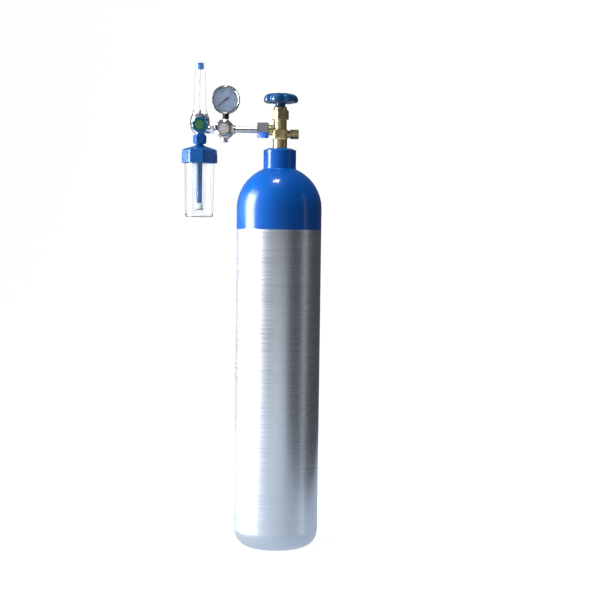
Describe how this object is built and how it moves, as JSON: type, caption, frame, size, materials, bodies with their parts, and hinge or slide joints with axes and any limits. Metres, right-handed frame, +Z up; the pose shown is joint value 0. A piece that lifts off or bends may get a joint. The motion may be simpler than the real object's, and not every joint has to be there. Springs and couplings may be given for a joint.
{
  "type": "oxygen cylinder",
  "caption": "Upright medical oxygen cylinder with a handwheel valve, regulator and gauge, float flowmeter and bubble humidifier on its left side.",
  "frame": {"origin": "centre of the ring that the cylinder stands on, on the floor", "axes": "+Z up along the cylinder, -X towards the regulator arm, -Y towards the front of the gauge and the flow knob"},
  "size_m": [0.2624, 0.159, 0.9098],
  "materials": {
    "vessel": "turned, satin",
    "blue_coat": "gloss",
    "brass": "machined",
    "chrome": "polished",
    "steel": "turned",
    "blue_plastic": "gloss",
    "green_plastic": "gloss",
    "badge": "printed",
    "dial": "matt, printed",
    "pointer": "matt",
    "clear_plastic": "clear",
    "rubber": "matt",
    "soft_seal": "satin",
    "filter": "sintered",
    "diffuser": "matt",
    "dark_plastic": "matt"
  },
  "bodies": {
    "cylinder": {"cylinder_shell": "vessel", "shoulder_paint": "blue_coat", "valve_body": "brass", "dust_tube": "soft_seal", "spindle_washer": "soft_seal", "bonnet_nut": "brass", "bonnet_gasket": "soft_seal", "safety_plug": "brass", "burst_disc": "brass", "burst_washer": "soft_seal", "inlet_nipple": "chrome", "nipple_o_ring": "rubber", "inlet_filter": "filter", "regulator_body": "chrome", "regulator_bonnet": "chrome", "regulator_badge": "badge", "regulator_spring": "steel", "relief_body": "chrome", "relief_spring": "steel", "gauge_case": "chrome", "gauge_bezel": "chrome", "gauge_lens": "clear_plastic", "gauge_dial": "dial", "gauge_movement": "brass", "bourdon_tube": "brass", "gauge_socket": "brass", "gauge_collar": "dark_plastic", "connector_tube": "chrome", "flowmeter_body": "chrome", "needle_gland": "brass", "needle_o_ring": "rubber", "flow_tube_cover": "clear_plastic", "metering_tube": "clear_plastic", "flow_tube_plug": "blue_plastic", "flow_tube_o_ring": "rubber", "humidifier_washer": "soft_seal", "humidifier_cap": "blue_plastic", "dip_tube": "blue_plastic", "bubble_diffuser": "diffuser", "diffuser_plate": "dark_plastic"},
    "handwheel": {"handwheel": "blue_plastic", "handwheel_spring": "steel", "handwheel_nut": "chrome", "valve_spindle": "steel"},
    "valve_plug": {"valve_plug": "brass", "seat_disc": "soft_seal"},
    "inlet_nut": {"inlet_nut": "chrome"},
    "connector_nut": {"connector_nut": "chrome"},
    "regulator_piston": {"regulator_piston": "brass", "piston_o_ring": "rubber", "piston_seat_pad": "soft_seal"},
    "relief_poppet": {"relief_poppet": "brass"},
    "gauge_pointer": {"gauge_pointer": "pointer"},
    "flow_knob": {"flow_knob": "blue_plastic", "knob_badge": "green_plastic", "needle_spindle": "steel"},
    "float": {"float_ball": "dark_plastic"},
    "humidifier_nut": {"humidifier_nut": "blue_plastic"},
    "bottle_seal": {"cap_gasket": "rubber"},
    "bottle": {"humidifier_bottle": "clear_plastic"}
  },
  "joints": [
    {"name": "handwheel_turn", "type": "hinge", "parent": "cylinder", "child": "handwheel", "pos_m": [0, 0, 0.843], "axis": [0, 0, 1], "range_deg": [0, 900]},
    {"name": "valve_plug_lift", "type": "slide", "parent": "handwheel", "child": "valve_plug", "axis": [0, 0, 1], "range_m": [0, 0.004]},
    {"name": "inlet_nut_turn", "type": "hinge", "parent": "cylinder", "child": "inlet_nut", "pos_m": [-0.032, 0, 0.7845], "axis": [1, 0, 0], "continuous": true},
    {"name": "connector_nut_turn", "type": "hinge", "parent": "cylinder", "child": "connector_nut", "pos_m": [-0.127, 0, 0.7845], "axis": [1, 0, 0], "continuous": true},
    {"name": "piston_travel", "type": "slide", "parent": "cylinder", "child": "regulator_piston", "axis": [0, 1, 0], "range_m": [0, 0.001], "stiffness_N_per_m": 4000, "springref_m": -0.003, "deforming": ["regulator_spring"]},
    {"name": "relief_lift", "type": "slide", "parent": "cylinder", "child": "relief_poppet", "axis": [0, 0, -1], "range_m": [0, 0.0015], "stiffness_N_per_m": 1500, "springref_m": -0.002, "deforming": ["relief_spring"]},
    {"name": "pointer_swing", "type": "hinge", "parent": "cylinder", "child": "gauge_pointer", "pos_m": [-0.1017, 0, 0.8392], "axis": [0, 1, 0], "range_deg": [0, 270], "stiffness_Nm_per_rad": 0.0005, "springref_deg": -22.92},
    {"name": "flow_knob_turn", "type": "hinge", "parent": "cylinder", "child": "flow_knob", "pos_m": [-0.1475, -0.03, 0.7912], "axis": [0, -1, 0], "range_deg": [0, 720]},
    {"name": "float_rise", "type": "slide", "parent": "cylinder", "child": "float", "axis": [0, 0, 1], "range_m": [0, 0.079]},
    {"name": "humidifier_nut_turn", "type": "hinge", "parent": "cylinder", "child": "humidifier_nut", "pos_m": [-0.15, 0, 0.7665], "axis": [0, 0, 1], "continuous": true},
    {"name": "bottle_unscrew", "type": "hinge", "parent": "cylinder", "child": "bottle_seal", "pos_m": [-0.15, 0, 0.7415], "axis": [0, 0, -1], "range_deg": [0, 900]},
    {"name": "bottle_lower", "type": "slide", "parent": "bottle_seal", "child": "bottle", "axis": [0, 0, -1], "range_m": [0, 0.011]}
  ],
  "couplings": [
    {"joint": "handwheel_turn", "follows": "valve_plug_lift", "rad_per_m": 3926.9},
    {"joint": "bottle_unscrew", "follows": "bottle_lower", "rad_per_m": 1427.9}
  ]
}
